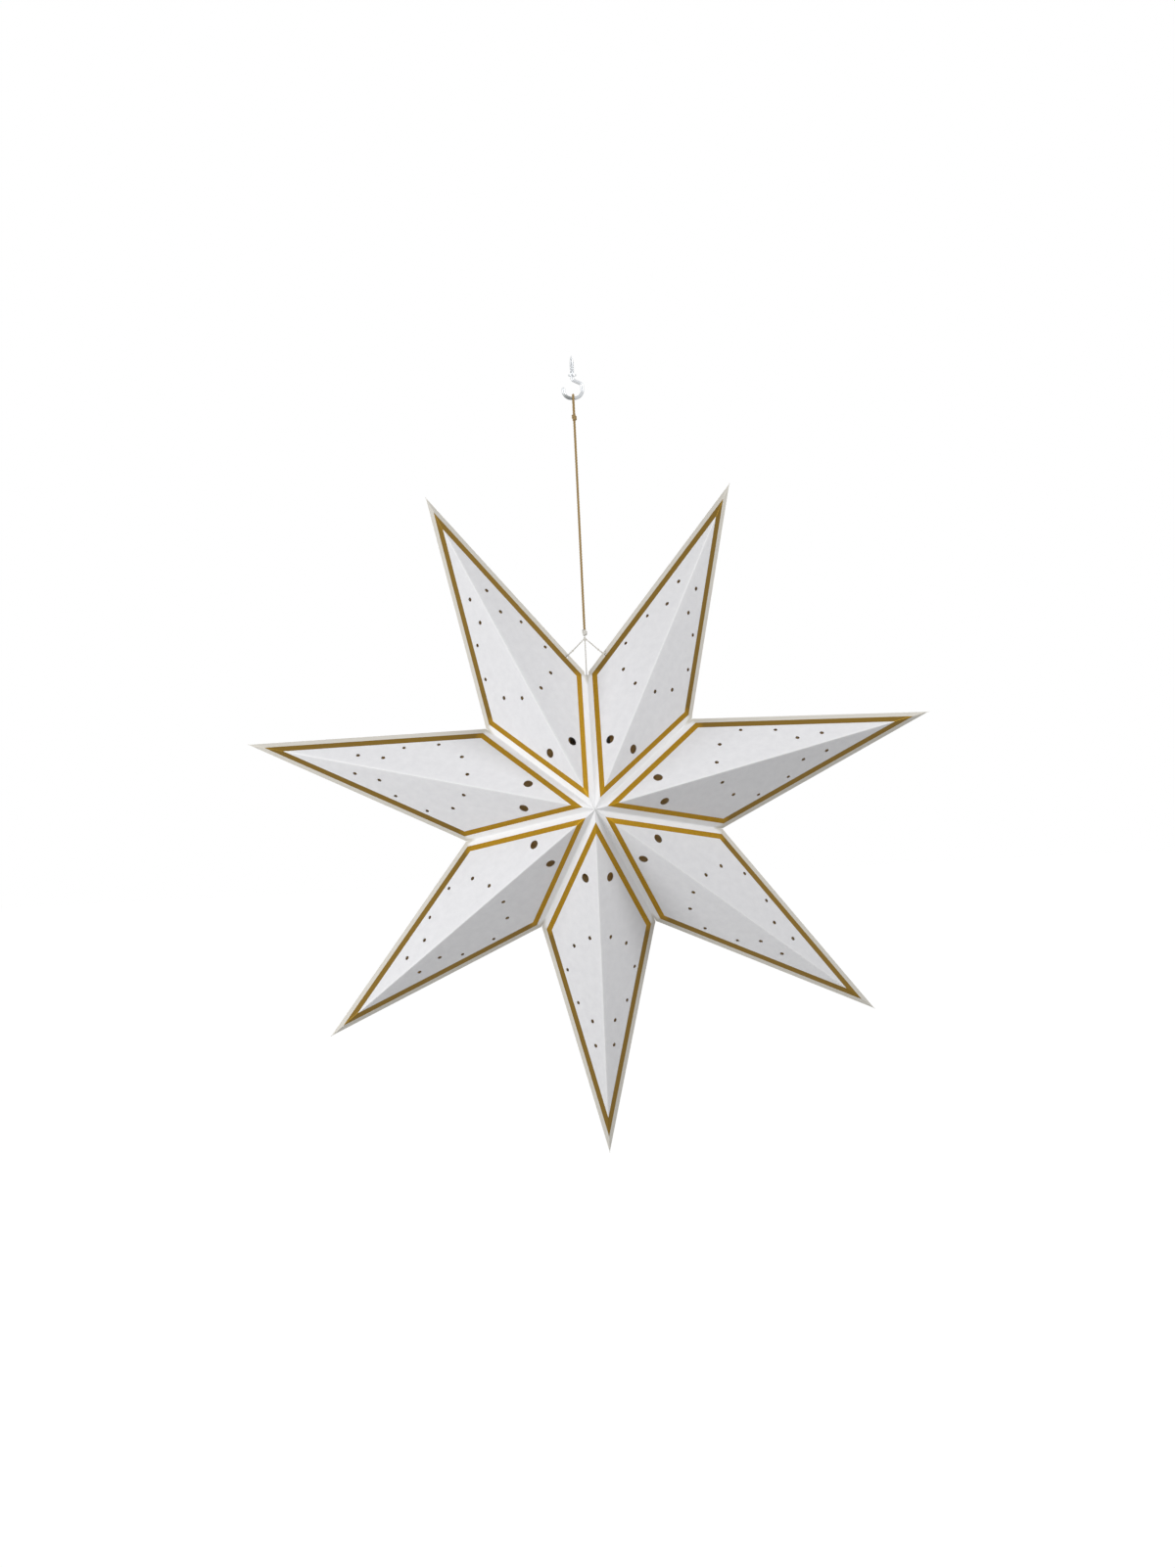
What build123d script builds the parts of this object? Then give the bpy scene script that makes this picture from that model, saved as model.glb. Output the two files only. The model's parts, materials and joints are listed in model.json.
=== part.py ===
from build123d import *
import os
from math import acos, atan2, cos, hypot, radians, sin

os.makedirs("parts", exist_ok=True)

# Driving dimensions, in millimetres and degrees.
# The origin is where the hook meets the ceiling, +Z is up and the star's front faces -Y.

# Star of folded card
ARMS = 7
TIP_RADIUS = 300.0
CORNER_RADIUS = 113.0
HALF_DEPTH = 80.0
CARD = 0.5
CREASE_GAP = 0.06
BACK_APEX_GAP = 1.0

# Slope of a panel's cut side against its outer face: a small angle lets a ridge close further
RIDGE_BEVEL = 26.0
VALLEY_BEVEL = 90.0
OUTLINE_BEVEL = 47.0

# Punched light holes on one front facet: radius from the star's centre, distance from the ridge, diameter
LIGHT_HOLES = [
    (58.0, 10.5, 8.0),
    (109.5, 9.0, 3.6),
    (117.0, 22.3, 3.6),
    (138.5, 28.8, 3.2),
    (167.0, 21.0, 3.2),
    (182.5, 9.8, 3.6),
    (204.0, 8.0, 3.6),
]

# Hook of round steel wire, screwed into the ceiling
WIRE = 3.0
SHANK_LENGTH = 12.0
SHANK_POINT = 4.0
POINT_FLAT = 0.2
COLLAR_DIAMETER = 7.0
COLLAR_HEIGHT = 1.2
HOOK_REACH = 8.0
HOOK_DROP = 20.0
HOOK_NECK = 4.5
HOOK_SHOULDER = 8.5
HOOK_TIP = 12.0
HOOK_BENDS = [2.0, 3.0, 6.5, 6.5]

# Hanging cord and threads
CORD = 2.2
THREAD = 1.2
CORD_DROP = 203.0
LOOP_LENGTH = 13.0
LOOSE = 0.15
KNOT_WRAPS = 3
WRAP_SWELL = 0.56
JOINT_GAP = 0.3
KNOT_ABOVE_CENTRE = 145.0
TIE_OFFSET = 14.4
TIE_RING = 4.0
TIE_HOLE = 3.0
SEAM_NOTCH = 4.0

# Battery case of the light unit
CASE_WIDTH = 34.0
CASE_DEPTH = 20.0
CASE_WALL = 1.6
CASE_TOP = 64.0
CELL_FLOOR = 2.0
CASE_BOTTOM = -12.0
CASE_ROUND = 3.0
CELL_DIAMETER = 14.2
CELL_LENGTH = 49.0
CELL_NUB = 1.4
CELL_NUB_RADIUS = 2.7
CELL_CHAMFER = 0.6
CELL_SPACING = 15.6
PARTITION = 1.0
PARTITION_LIFT = 1.0
COVER_THICKNESS = 1.6
COVER_GROOVE = 0.8
COVER_PLAY = 0.15
COVER_RAIL = 0.8
GRIP_RIBS = 5
GRIP_RIB = 1.2
GRIP_HEIGHT = 0.6
GRIP_DROP = 10.0
CONTACT = 0.5
CONTACT_DEPTH = 11.0
CONTACT_WIDTH = 12.0
LEAF_WIDTH = 5.0
LEAF_REACH = 4.0
LUG_RADIUS = 3.4
LUG_HOLE = 3.6
LUG_THICKNESS = 2.0
LUG_LIFT = 0.4

# Slide switch
SWITCH_SLOT = (11.0, 3.6)
SWITCH_KNOB = (5.6, 3.2)
SWITCH_HEIGHT = 2.0
SWITCH_PLATE = (17.0, 6.6)
SWITCH_FLANGE = 1.0
SWITCH_Z = -5.0

# Lamp below the battery case
LAMP_COLLAR_BOTTOM = -24.0
LAMP_RADIUS = 16.0
BOARD_RADIUS = 13.5
BOARD_THICKNESS = 1.6
BOARD_SEAT = -19.0
LED_DIAMETER = 5.0
LED_LENGTH = 7.0
LED_FLANGE = 0.4
LED_FLANGE_HEIGHT = 1.0
LED_CIRCLE = 8.0
LED_COUNT = 4
LED_START = 45.0
DOME_RADIUS = 15.0
DOME_WALL = 1.2
DOME_STRAIGHT = 9.0
SCREW_HEAD = 3.4
SCREW_HEIGHT = 1.4
SCREW_CHAMFER = 0.4
SCREW_CIRCLE = 10.6

# Levels worked out from the driving dimensions
HOOK_BAR_Z = -HOOK_DROP
TOP_KNOT_Z = HOOK_BAR_Z - LOOP_LENGTH
LOWER_KNOT_Z = HOOK_BAR_Z - CORD_DROP
STAR_Z = LOWER_KNOT_Z - KNOT_ABOVE_CENTRE
HALF_SECTOR = 180.0 / ARMS
KNOT_HEIGHT = KNOT_WRAPS - 1 + 2 * WRAP_SWELL


def star_point(radius, turn):
    """Point of the star's mid-plane at a radius, turned clockwise from the top as seen from the front."""
    return Vector(radius * sin(radians(turn)), 0, STAR_Z + radius * cos(radians(turn)))


def apex(side):
    """Front (-1) or back (+1) apex, where all the ridges and valleys of that side meet."""
    return Vector(0, side * HALF_DEPTH, STAR_Z)


def save(piece, name):
    """Label a finished piece and write it."""
    piece.part.label = name
    export_step(piece.part, f"parts/{name}.step")


def cut_plane(start, end, inside, normal, bevel, gap_start, gap_end):
    """Plane of a panel's cut side, through its crease, leaning under the outer face by the bevel angle."""
    along = (end - start).normalized()
    inward = inside - start
    inward = (inward - along * inward.dot(along)).normalized()
    first = start + inward * gap_start
    last = end + inward * gap_end
    line = (last - first).normalized()
    across = (inward - line * inward.dot(line)).normalized()
    outward = across * -sin(radians(bevel)) - normal * cos(radians(bevel))
    return Plane(origin=first, x_dir=line, z_dir=outward)


def facet_point(top, corner, tip, radius, offset):
    """Point of a facet, from its radius along the arm and its distance from the ridge in the front view."""
    share_corner = offset / (CORNER_RADIUS * sin(radians(HALF_SECTOR)))
    share_tip = (radius - share_corner * CORNER_RADIUS * cos(radians(HALF_SECTOR))) / TIP_RADIUS
    return top + (tip - top) * share_tip + (corner - top) * share_corner


def card_panel(side, corner, tip, at_seam):
    """One triangular card facet with its scored sides, and light holes if it is on the front."""
    top = apex(side)
    normal = (tip - corner).cross(top - corner).normalized()
    normal = normal if normal.Y * side > 0 else normal * -1
    face = Plane(origin=corner, x_dir=tip - corner, z_dir=normal)
    apex_gap = CREASE_GAP if side < 0 else BACK_APEX_GAP
    outline = [face.to_local_coords(p) for p in (corner, tip, top)]
    with BuildPart() as panel:
        with BuildSketch(face):
            with BuildLine():
                Polyline(*[(p.X, p.Y) for p in outline], close=True)
            make_face()
        extrude(amount=-CARD)
        split(
            bisect_by=cut_plane(top, tip, corner, normal, RIDGE_BEVEL, CREASE_GAP, CREASE_GAP),
            keep=Keep.BOTTOM,
        )
        split(
            bisect_by=cut_plane(top, corner, tip, normal, VALLEY_BEVEL, apex_gap, CREASE_GAP),
            keep=Keep.BOTTOM,
        )
        split(
            bisect_by=cut_plane(corner, tip, top, normal, OUTLINE_BEVEL, CREASE_GAP, CREASE_GAP),
            keep=Keep.BOTTOM,
        )
        if side < 0:
            with BuildSketch(face):
                for radius, offset, diameter in LIGHT_HOLES:
                    spot = face.to_local_coords(facet_point(top, corner, tip, radius, offset))
                    with Locations((spot.X, spot.Y)):
                        Circle(diameter / 2)
            extrude(amount=-2 * CARD, mode=Mode.SUBTRACT)
        if at_seam:
            along_edge = TIE_OFFSET / abs(tip.X - corner.X) * (tip - corner).length
            height = outline[2].Y / abs(outline[2].Y) * TIE_RING
            with BuildSketch(face):
                with Locations((along_edge, height)):
                    Circle(TIE_HOLE / 2)
            extrude(amount=-2 * CARD, mode=Mode.SUBTRACT)
            with Locations(corner):
                Cylinder(SEAM_NOTCH / 2, 3 * SEAM_NOTCH, mode=Mode.SUBTRACT)
    return panel


# Seven arms, numbered clockwise from the seam at the top; each has four hinged panels
for arm in range(1, ARMS + 1):
    arm_tip = star_point(TIP_RADIUS, (2 * arm - 1) * HALF_SECTOR)
    left_corner = star_point(CORNER_RADIUS, 2 * (arm - 1) * HALF_SECTOR)
    right_corner = star_point(CORNER_RADIUS, 2 * arm * HALF_SECTOR)
    for side_name, side in (("front", -1), ("back", 1)):
        for hand, arm_corner, seam in (
            ("left", left_corner, arm == 1),
            ("right", right_corner, arm == ARMS),
        ):
            save(card_panel(side, arm_corner, arm_tip, seam), f"arm_{arm}_{side_name}_{hand}")


# Ceiling hook: pointed shank above a collar, then the wire bends round to an open end at the left
with BuildPart() as hook:
    with BuildLine(Plane.XZ) as hook_line:
        FilletPolyline(
            (0, -COLLAR_HEIGHT / 2),
            (0, -HOOK_NECK),
            (HOOK_REACH, -HOOK_SHOULDER),
            (HOOK_REACH, HOOK_BAR_Z),
            (-HOOK_REACH, HOOK_BAR_Z),
            (-HOOK_REACH, -HOOK_TIP),
            radius=HOOK_BENDS,
        )
    with BuildSketch(Plane.XY.offset(-COLLAR_HEIGHT / 2)):
        Circle(WIRE / 2)
    sweep(path=hook_line.wire())
    with Locations((-HOOK_REACH, 0, -HOOK_TIP)):
        Sphere(WIRE / 2)
    with BuildSketch(Plane.XZ):
        with BuildLine():
            Polyline(
                (0, -COLLAR_HEIGHT),
                (COLLAR_DIAMETER / 2, -COLLAR_HEIGHT),
                (COLLAR_DIAMETER / 2, 0),
                (WIRE / 2, 0),
                (WIRE / 2, SHANK_LENGTH),
                (POINT_FLAT, SHANK_LENGTH + SHANK_POINT),
                (0, SHANK_LENGTH + SHANK_POINT),
                close=True,
            )
        make_face()
    revolve(axis=Axis.Z)
save(hook, "ceiling_hook")


def wrapped_knot(top, strand):
    """Half section of a barrel knot below a level: wraps of the strand round its core."""
    wrap_radius = strand * WRAP_SWELL
    half_height = strand * KNOT_HEIGHT / 2
    with BuildSketch() as section:
        for wrap in range(KNOT_WRAPS):
            with Locations((strand / 2, top - wrap_radius - strand * wrap)):
                Circle(wrap_radius)
        with Locations((strand / 4, top - half_height)):
            Rectangle(strand / 2, 2 * half_height)
        with Locations((-strand, top - half_height)):
            Rectangle(2 * strand, 2 * half_height + strand, mode=Mode.SUBTRACT)
    return section.sketch


# Hanging loop: the cord goes over the hook's bar and both legs run down into the top knot
loop_bend = WIRE / 2 + LOOSE + CORD / 2
leg_foot = CORD / 2 + LOOSE / 3
foot_distance = hypot(leg_foot, LOOP_LENGTH)
tangent_turn = atan2(-LOOP_LENGTH, leg_foot) + acos(loop_bend / foot_distance)
tangent_y = loop_bend * cos(tangent_turn)
tangent_z = HOOK_BAR_Z + loop_bend * sin(tangent_turn)
with BuildPart() as hanging_loop:
    with BuildLine(Plane.YZ) as loop_line:
        Line((-leg_foot, TOP_KNOT_Z), (-tangent_y, tangent_z))
        ThreePointArc((-tangent_y, tangent_z), (0, HOOK_BAR_Z + loop_bend), (tangent_y, tangent_z))
        Line((tangent_y, tangent_z), (leg_foot, TOP_KNOT_Z))
    with BuildSketch(Plane(origin=loop_line.wire() @ 0, z_dir=loop_line.wire() % 0)):
        Circle(CORD / 2)
    sweep(path=loop_line.wire())
    with BuildSketch(Plane.XZ):
        add(wrapped_knot(TOP_KNOT_Z, CORD))
    revolve(axis=Axis.Z)
save(hanging_loop, "hanging_loop")

# Hanging cord: a straight run from under the top knot to the lower knot
cord_top = TOP_KNOT_Z - KNOT_HEIGHT * CORD - JOINT_GAP - CORD / 2
cord_bottom = LOWER_KNOT_Z + KNOT_HEIGHT * CORD
with BuildPart() as hanging_cord:
    with BuildSketch(Plane.XY.offset(cord_bottom)):
        Circle(CORD / 2)
    extrude(amount=cord_top - cord_bottom)
    with Locations((0, 0, cord_top)):
        Sphere(CORD / 2)
save(hanging_cord, "hanging_cord")

# Lower knot, tied in the cord's own end
with BuildPart() as cord_knot:
    with BuildSketch(Plane.XZ):
        add(wrapped_knot(cord_bottom, CORD))
    revolve(axis=Axis.Z)
save(cord_knot, "cord_knot")


# Tie threads: one ring through the front and back panel of each seam arm, and a run up to the knot
bridle_top = LOWER_KNOT_Z - JOINT_GAP
bridle_bottom = bridle_top - KNOT_HEIGHT * THREAD
bridle_z = (bridle_top + bridle_bottom) / 2
seam_corner = star_point(CORNER_RADIUS, 0)
seam_tip = star_point(TIP_RADIUS, HALF_SECTOR)
edge_share = TIE_OFFSET / seam_tip.X
tie_spot = seam_corner + (seam_tip - seam_corner) * edge_share
edge_line = (seam_tip - seam_corner).normalized()
knot_side = THREAD * (0.5 + WRAP_SWELL)


def tie_thread(hand, clearance):
    """Thread ring round an outline edge, with its run to the bridle knot; hand is 1 right, -1 left."""
    spot = Vector(tie_spot.X * hand, 0, tie_spot.Z)
    line = Vector(edge_line.X * hand, 0, edge_line.Z)
    knot_end = Vector(hand * (knot_side + clearance), 0, bridle_z)
    outward = Vector(-line.Z * hand, 0, line.X * hand)
    ring_top = spot + outward * TIE_RING
    run = knot_end - ring_top
    with BuildPart() as thread:
        with BuildSketch(Plane(origin=spot, x_dir=outward, z_dir=outward.cross(line))):
            with Locations((TIE_RING, 0)):
                Circle(THREAD / 2)
        revolve(axis=Axis(spot, line))
        with BuildSketch(Plane(origin=ring_top, z_dir=run)):
            Circle(THREAD / 2)
        extrude(amount=run.length)
    return thread


save(tie_thread(1, 2 * LOOSE), "tie_thread_right")
save(tie_thread(-1, JOINT_GAP), "tie_thread_left")

with BuildPart() as bridle_knot:
    with BuildSketch(Plane.XZ):
        add(wrapped_knot(bridle_top, THREAD))
    revolve(axis=Axis.Z)
save(bridle_knot, "bridle_knot")

# Lamp thread: straight down through the seam notch, with a loop through the eye of the battery case
lug_z = STAR_Z + CASE_TOP + LUG_HOLE / 2 + LUG_LIFT
eye_loop = LUG_HOLE / 2 + THREAD / 2 + LOOSE
loop_top = lug_z + 2 * eye_loop + THREAD / 4
with BuildPart() as lamp_thread:
    with BuildSketch(Plane.XY.offset(loop_top)):
        Circle(THREAD / 2)
    extrude(amount=bridle_bottom - loop_top)
    with BuildSketch(Plane.XY.offset(lug_z + eye_loop)):
        with Locations((0, eye_loop)):
            Circle(THREAD / 2)
    revolve(axis=Axis((0, 0, lug_z + eye_loop), (1, 0, 0)))
save(lamp_thread, "lamp_thread")

# Battery case: open at the back for the cells, with grooves for the sliding cover and a hanging eye
case_height = CASE_TOP - CASE_BOTTOM
case_centre = STAR_Z + (CASE_TOP + CASE_BOTTOM) / 2
cell_top = STAR_Z + CASE_TOP - CASE_WALL
cell_floor = STAR_Z + CELL_FLOOR
bay_width = CASE_WIDTH - 2 * CASE_WALL
back_y = CASE_DEPTH / 2
front_y = -CASE_DEPTH / 2
cover_y = back_y - COVER_RAIL - COVER_THICKNESS - 2 * COVER_PLAY
with BuildPart() as battery_case:
    with BuildSketch(Plane.XY.offset(STAR_Z + CASE_BOTTOM)):
        RectangleRounded(CASE_WIDTH, CASE_DEPTH, CASE_ROUND)
    extrude(amount=case_height)
    with BuildSketch(Plane.XZ.offset(-back_y)):
        with Locations((0, (cell_top + cell_floor) / 2)):
            Rectangle(bay_width, cell_top - cell_floor)
    extrude(amount=CASE_DEPTH - CASE_WALL, mode=Mode.SUBTRACT)
    with BuildSketch(Plane.XY.offset(cell_floor)):
        with Locations((0, cover_y + (COVER_THICKNESS + 2 * COVER_PLAY) / 2)):
            Rectangle(bay_width + 2 * COVER_GROOVE, COVER_THICKNESS + 2 * COVER_PLAY)
    extrude(amount=case_height, mode=Mode.SUBTRACT)
    with BuildSketch(Plane.XY.offset(cell_floor)):
        with Locations((0, (cover_y + back_y) / 2)):
            Rectangle(bay_width, back_y - cover_y)
    extrude(amount=case_height, mode=Mode.SUBTRACT)
    with BuildSketch(Plane.XY.offset(cell_floor + PARTITION_LIFT)):
        with Locations((0, (front_y + CASE_WALL + cover_y - PARTITION) / 2)):
            Rectangle(PARTITION, cover_y - PARTITION - front_y - CASE_WALL)
    extrude(amount=cell_top - cell_floor - PARTITION_LIFT)
    with BuildSketch(Plane.XY.offset(STAR_Z + CASE_BOTTOM)):
        Rectangle(bay_width, CASE_DEPTH - 2 * CASE_WALL)
    extrude(amount=CELL_FLOOR - CASE_BOTTOM - CASE_WALL, mode=Mode.SUBTRACT)
    with BuildSketch(Plane.XZ.offset(-front_y)):
        with Locations((0, STAR_Z + SWITCH_Z)):
            Rectangle(*SWITCH_SLOT)
    extrude(amount=-2 * CASE_WALL, mode=Mode.SUBTRACT)
    with BuildSketch(Plane.XZ.offset(-LUG_THICKNESS / 2)):
        with Locations((0, lug_z)):
            Circle(LUG_RADIUS)
        with Locations((0, lug_z - LUG_RADIUS / 2)):
            Rectangle(2 * LUG_RADIUS, LUG_RADIUS)
        with Locations((0, lug_z)):
            Circle(LUG_HOLE / 2, mode=Mode.SUBTRACT)
    extrude(amount=LUG_THICKNESS)
save(battery_case, "battery_case")

# Sliding cover: a plate in the grooves, with grip ribs across its upper end
cover_bottom = cell_floor + COVER_PLAY
cover_top = STAR_Z + CASE_TOP
cover_face = cover_y + COVER_PLAY + COVER_THICKNESS
with BuildPart() as battery_cover:
    with BuildSketch(Plane.XZ.offset(-cover_face)):
        with Locations((0, (cover_bottom + cover_top) / 2)):
            Rectangle(bay_width + 2 * COVER_GROOVE - 2 * COVER_PLAY, cover_top - cover_bottom)
    extrude(amount=COVER_THICKNESS)
    with BuildSketch(Plane.XZ.offset(-cover_face)):
        with Locations((0, cover_top - GRIP_DROP)):
            with GridLocations(0, 2 * GRIP_RIB, 1, GRIP_RIBS):
                SlotOverall(bay_width / 2, GRIP_RIB)
    extrude(amount=-GRIP_HEIGHT)
save(battery_cover, "battery_cover")

# Two AA cells side by side, one turned over
cell_y = front_y + CASE_WALL + CELL_DIAMETER / 2 + LOOSE
cell_middle = (cell_top + cell_floor) / 2
for number, hand, way in ((1, -1, 1), (2, 1, -1)):
    cell_base = Vector(hand * CELL_SPACING / 2, cell_y, cell_middle - way * CELL_LENGTH / 2)
    with BuildPart() as cell:
        with BuildSketch(Plane(origin=cell_base, x_dir=(1, 0, 0), z_dir=(0, 0, way))):
            Circle(CELL_DIAMETER / 2)
        extrude(amount=CELL_LENGTH)
        chamfer(cell.edges().filter_by(GeomType.CIRCLE), CELL_CHAMFER)
        nub_base = cell_base + Vector(0, 0, way * CELL_LENGTH)
        with BuildSketch(Plane(origin=nub_base, x_dir=(1, 0, 0), z_dir=(0, 0, way))):
            Circle(CELL_NUB_RADIUS)
        extrude(amount=CELL_NUB)
    save(cell, f"battery_cell_{number}")


def contact_plate(level, way, widths):
    """Sheet contacts against the end wall of the cell bay, each with a raised leaf that meets its cell."""
    reach = (cell_top - cell_floor - CELL_LENGTH) / 2
    with BuildPart() as plate:
        with BuildSketch(Plane(origin=(0, cell_y, level), x_dir=(1, 0, 0), z_dir=(0, 0, way))):
            for centre, width in widths:
                with Locations((centre, 0)):
                    Rectangle(width, CONTACT_DEPTH)
        extrude(amount=CONTACT)
        for centre in (-CELL_SPACING / 2, CELL_SPACING / 2):
            with BuildSketch(Plane.XZ.offset(-cell_y - LEAF_WIDTH / 2)):
                with BuildLine():
                    start = (centre - LEAF_REACH, level + way * CONTACT / 2)
                    peak = (centre, level + way * (reach - CELL_NUB - CONTACT))
                    end = (centre + LEAF_REACH, level + way * CONTACT / 2)
                    bow = ThreePointArc(start, peak, end)
                    offset(bow, amount=CONTACT / 2, side=Side.BOTH)
                make_face()
            extrude(amount=LEAF_WIDTH)
    return plate


half_pitch = CELL_SPACING / 2
bridge = [(0, CELL_SPACING + CONTACT_WIDTH)]
terminals = [(-half_pitch, CONTACT_WIDTH), (half_pitch, CONTACT_WIDTH)]
save(contact_plate(cell_floor, 1, bridge), "contact_plate_bridge")
save(contact_plate(cell_top, -1, terminals), "contact_plates_terminal")

# Slide switch: a knob in the front slot on a wider plate behind the wall
with BuildPart() as slide_switch:
    with BuildSketch(Plane.XZ.offset(-front_y - CASE_WALL - COVER_PLAY)):
        with Locations((0, STAR_Z + SWITCH_Z)):
            Rectangle(*SWITCH_PLATE)
    extrude(amount=-SWITCH_FLANGE)
    with BuildSketch(Plane.XZ.offset(-front_y - CASE_WALL - COVER_PLAY)):
        with Locations((0, STAR_Z + SWITCH_Z)):
            Rectangle(*SWITCH_KNOB)
    extrude(amount=CASE_WALL + COVER_PLAY + SWITCH_HEIGHT)
save(slide_switch, "slide_switch")

# Lamp collar: from the case's rounded rectangle to a round seat for the board and the dome
with BuildPart() as lamp_collar:
    with BuildSketch(Plane.XY.offset(STAR_Z + CASE_BOTTOM)):
        RectangleRounded(CASE_WIDTH, CASE_DEPTH, CASE_ROUND)
    with BuildSketch(Plane.XY.offset(STAR_Z + BOARD_SEAT)):
        Circle(LAMP_RADIUS)
    loft()
    with BuildSketch(Plane.XY.offset(STAR_Z + LAMP_COLLAR_BOTTOM)):
        Circle(LAMP_RADIUS)
    extrude(amount=BOARD_SEAT - LAMP_COLLAR_BOTTOM)
    with BuildSketch(Plane.XY.offset(STAR_Z + LAMP_COLLAR_BOTTOM)):
        Circle(BOARD_RADIUS + COVER_PLAY)
    extrude(amount=BOARD_SEAT - LAMP_COLLAR_BOTTOM, mode=Mode.SUBTRACT)
    with BuildSketch(Plane.XY.offset(STAR_Z + BOARD_SEAT)):
        Circle(CASE_DEPTH / 2 - 2 * CASE_WALL)
    extrude(amount=CASE_BOTTOM - BOARD_SEAT, mode=Mode.SUBTRACT)
save(lamp_collar, "lamp_collar")

# LED board with its LEDs and screws
board_bottom = STAR_Z + BOARD_SEAT - BOARD_THICKNESS
with BuildPart() as led_board:
    with BuildSketch(Plane.XY.offset(board_bottom)):
        Circle(BOARD_RADIUS)
    extrude(amount=BOARD_THICKNESS)
save(led_board, "led_board")

with BuildPart() as one_led:
    with BuildSketch(Plane.XZ):
        with BuildLine():
            led_radius = LED_DIAMETER / 2
            flange = led_radius + LED_FLANGE
            body_end = LED_LENGTH - led_radius
            Polyline(
                (0, 0),
                (flange, 0),
                (flange, -LED_FLANGE_HEIGHT),
                (led_radius, -LED_FLANGE_HEIGHT),
                (led_radius, -body_end),
            )
            RadiusArc((led_radius, -body_end), (0, -LED_LENGTH), led_radius)
            Line((0, -LED_LENGTH), (0, 0))
        make_face()
    revolve(axis=Axis.Z)
with BuildPart() as led_group:
    with Locations((0, 0, board_bottom)):
        add(one_led.part)
        with PolarLocations(LED_CIRCLE, LED_COUNT, start_angle=LED_START):
            add(one_led.part)
save(led_group, "leds")

with BuildPart() as board_screws:
    with BuildSketch(Plane.XY.offset(board_bottom)):
        with Locations((SCREW_CIRCLE, 0), (-SCREW_CIRCLE, 0)):
            Circle(SCREW_HEAD / 2)
    extrude(amount=-SCREW_HEIGHT)
    chamfer(board_screws.faces().sort_by(Axis.Z)[:2].edges(), SCREW_CHAMFER)
save(board_screws, "board_screws")

# Frosted dome: a thin shell with a straight wall and a round end
rim = STAR_Z + LAMP_COLLAR_BOTTOM
dome_centre = rim - DOME_STRAIGHT
with BuildPart() as diffuser_dome:
    with BuildSketch(Plane.XZ):
        with BuildLine():
            inner = DOME_RADIUS - DOME_WALL
            Line((inner, rim), (DOME_RADIUS, rim))
            Line((DOME_RADIUS, rim), (DOME_RADIUS, dome_centre))
            RadiusArc((DOME_RADIUS, dome_centre), (0, dome_centre - DOME_RADIUS), DOME_RADIUS)
            Line((0, dome_centre - DOME_RADIUS), (0, dome_centre - inner))
            RadiusArc((0, dome_centre - inner), (inner, dome_centre), -inner)
            Line((inner, dome_centre), (inner, rim))
        make_face()
    revolve(axis=Axis.Z)
save(diffuser_dome, "diffuser_dome")
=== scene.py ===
# %% [markdown]
# A folded card star hangs on a cord from a ceiling hook, with a small battery lamp inside it.
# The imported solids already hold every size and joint. This lesson dresses them: card with punched
# holes and gold foil, twisted cord and thread, plated wire, moulded plastic.
# The frame is loaded first, because every later piece takes its place from it.

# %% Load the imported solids
import json
import math

import bpy
import numpy as np
from mathutils import Matrix, Vector
from mathutils.geometry import delaunay_2d_cdt

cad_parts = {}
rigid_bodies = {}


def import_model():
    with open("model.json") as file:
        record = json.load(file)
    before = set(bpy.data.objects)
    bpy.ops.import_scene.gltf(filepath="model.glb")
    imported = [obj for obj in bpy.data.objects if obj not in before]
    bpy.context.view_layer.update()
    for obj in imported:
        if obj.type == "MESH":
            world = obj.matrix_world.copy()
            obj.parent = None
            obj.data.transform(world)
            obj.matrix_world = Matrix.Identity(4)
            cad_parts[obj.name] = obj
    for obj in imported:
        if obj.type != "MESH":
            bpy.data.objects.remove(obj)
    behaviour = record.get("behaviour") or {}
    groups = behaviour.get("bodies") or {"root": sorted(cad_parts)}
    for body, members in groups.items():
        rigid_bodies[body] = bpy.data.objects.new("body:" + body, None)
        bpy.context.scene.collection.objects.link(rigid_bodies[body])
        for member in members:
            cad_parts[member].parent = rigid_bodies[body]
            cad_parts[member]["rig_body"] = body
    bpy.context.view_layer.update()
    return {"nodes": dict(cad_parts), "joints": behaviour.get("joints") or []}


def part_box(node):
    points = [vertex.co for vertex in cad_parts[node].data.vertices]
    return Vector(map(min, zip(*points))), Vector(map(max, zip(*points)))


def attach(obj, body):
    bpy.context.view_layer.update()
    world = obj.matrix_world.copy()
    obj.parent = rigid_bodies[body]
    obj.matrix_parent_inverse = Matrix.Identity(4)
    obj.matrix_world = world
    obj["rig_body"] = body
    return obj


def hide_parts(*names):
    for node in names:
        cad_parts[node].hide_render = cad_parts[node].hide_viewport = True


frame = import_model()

MM = 0.001
scene = bpy.context.scene
scene.view_settings.view_transform = "Standard"

# %% [markdown]
# The star is seven arms of four flat card panels. Its creases are the joints of the frame, so the
# corners can be read where two crease lines cross. A reader could also type them in, but then the card
# would no longer follow the solids if their sizes changed.

# %% Find the star's corners from its creases
ARMS = 7
HALF_SECTOR = math.pi / ARMS
joints = {joint["name"]: joint for joint in frame["joints"]}


def crossing(first, second):
    """Point where two joint axes meet: start + a * axis is the same on both, solved by least squares."""
    start, axis, start_2, axis_2 = [
        np.array(joints[name][key], float) for name in (first, second) for key in ("pos_m", "axis")
    ]
    steps = np.linalg.lstsq(np.stack([axis, -axis_2], 1), start_2 - start, rcond=None)[0]
    return start + steps[0] * axis


front_apex = np.array(joints["star_fold"]["pos_m"])
top_corner = np.array(joints["edge_1_left"]["pos_m"])
first_tip = crossing("star_fold", "edge_1_left")
centre = front_apex * (1, 0, 1)
tip_radius = np.linalg.norm(first_tip - centre)
corner_radius = np.linalg.norm(top_corner - centre)
half_depth = abs(front_apex[1])


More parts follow.
